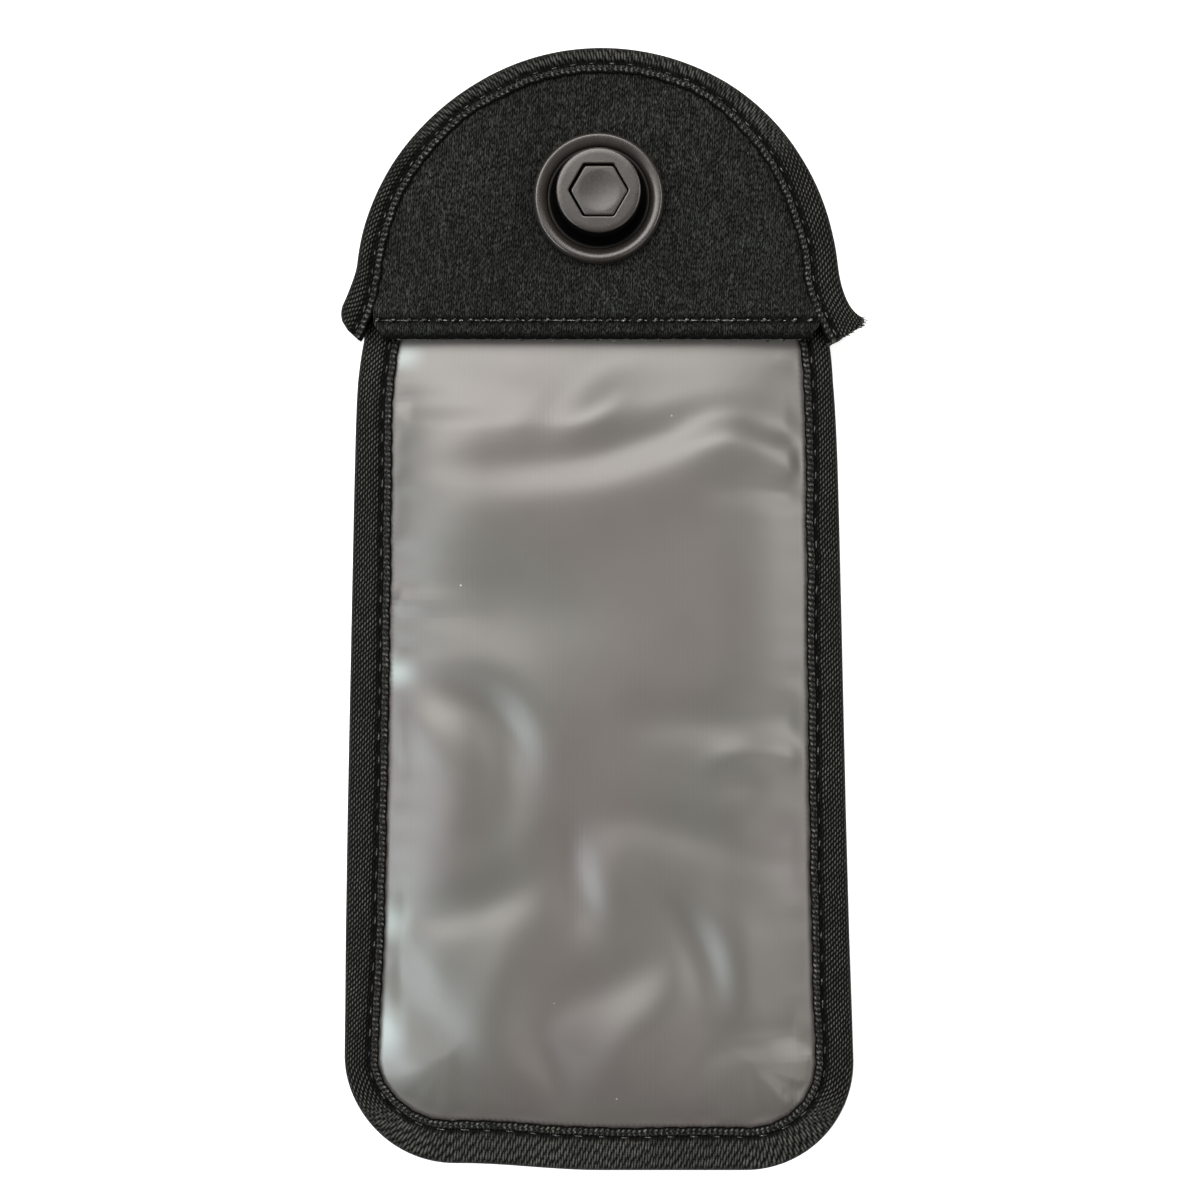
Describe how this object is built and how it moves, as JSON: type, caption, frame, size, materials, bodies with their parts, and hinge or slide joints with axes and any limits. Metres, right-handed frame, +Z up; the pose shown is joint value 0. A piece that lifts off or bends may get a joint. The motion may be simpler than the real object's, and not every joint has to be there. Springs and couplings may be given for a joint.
{
  "type": "magnetic locking phone pouch",
  "caption": "Flat neoprene phone pouch with a frosted film window, bound edges and a magnetic clutch lock on its half-round flap.",
  "frame": {"origin": "on the ground, below the middle of the pouch's bounding box", "axes": "+Y towards the lock and the mouth, +Z up out of the window, +X to the right seen from above with the lock at the top"},
  "size_m": [0.104, 0.224, 0.0168],
  "materials": {
    "neoprene": "matt knitted face",
    "binding_tape": "ribbed woven tape",
    "thread": "spun thread",
    "film": "frosted translucent",
    "lock_shell": "satin moulded",
    "button_plastic": "satin moulded",
    "steel": "plain"
  },
  "bodies": {
    "pouch": {"back_panel": "neoprene", "front_flap": "neoprene", "window_film": "film", "body_binding": "binding_tape", "back_flap_binding": "binding_tape", "front_flap_binding": "binding_tape", "body_needle_thread": "thread", "body_bobbin_thread": "thread", "back_flap_needle_thread": "thread", "back_flap_bobbin_thread": "thread", "front_flap_needle_thread": "thread", "front_flap_bobbin_thread": "thread", "hem_thread": "thread", "lock_flange": "lock_shell", "lock_cap": "lock_shell", "hex_core": "lock_shell", "front_washer": "steel", "back_washer": "steel", "clutch_cone": "steel", "clutch_spring": "steel", "pin": "steel", "pin_button": "button_plastic"},
    "clutch": {"ball_cage": "steel"},
    "ball_1_body": {"ball_1": "steel"},
    "ball_2_body": {"ball_2": "steel"},
    "ball_3_body": {"ball_3": "steel"}
  },
  "joints": [
    {"name": "clutch_lift", "type": "slide", "parent": "pouch", "child": "clutch", "axis": [0, 0, 1], "range_m": [0, 0.0008], "stiffness_N_per_m": 500, "springref_m": -0.001, "deforming": ["clutch_spring"]},
    {"name": "ball_1_spread", "type": "slide", "parent": "clutch", "child": "ball_1_body", "axis": [0, 1, 0], "range_m": [0, 0.0003]},
    {"name": "ball_2_spread", "type": "slide", "parent": "clutch", "child": "ball_2_body", "axis": [-0.866, -0.5, 0], "range_m": [0, 0.0003]},
    {"name": "ball_3_spread", "type": "slide", "parent": "clutch", "child": "ball_3_body", "axis": [0.866, -0.5, 0], "range_m": [0, 0.0003]}
  ],
  "couplings": [
    {"joint": "ball_1_spread", "follows": "clutch_lift", "ratio": 0.3739},
    {"joint": "ball_2_spread", "follows": "clutch_lift", "ratio": 0.3739},
    {"joint": "ball_3_spread", "follows": "clutch_lift", "ratio": 0.3739}
  ]
}
